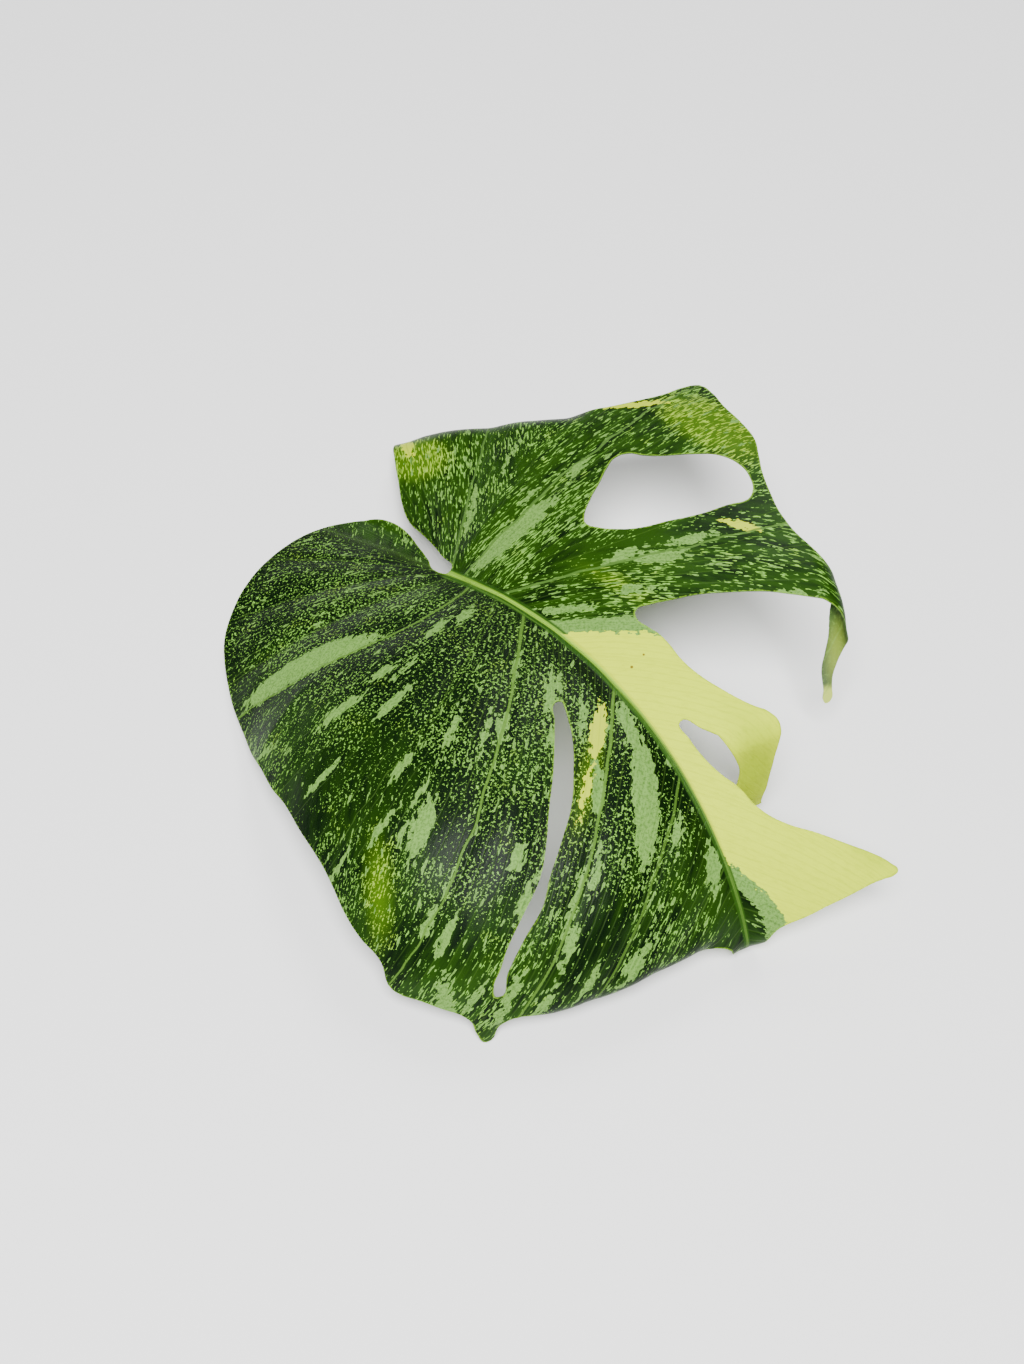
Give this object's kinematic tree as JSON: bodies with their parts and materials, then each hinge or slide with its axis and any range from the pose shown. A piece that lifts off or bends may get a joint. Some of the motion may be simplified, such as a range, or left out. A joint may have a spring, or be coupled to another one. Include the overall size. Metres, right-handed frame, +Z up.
{
  "type": "monstera leaf",
  "caption": "Variegated split leaf with an arched blade and a short cut stalk, lying face up.",
  "frame": {"origin": "centre of the bounding box's footprint, on the surface that the leaf lies on", "axes": "+Z up from the surface; -Y from the sinus towards the leaf's tip; +X towards the right half, the one with the window and the yellow lobes"},
  "size_m": [0.2864, 0.3119, 0.0825],
  "materials": {
    "leaf_green": "satin, waxy, green speckled pale, with a yellow sector",
    "stalk_green": "satin, smooth, pale green"
  },
  "bodies": {
    "root": {"blade": "leaf_green", "petiole": "stalk_green"}
  },
  "joints": []
}
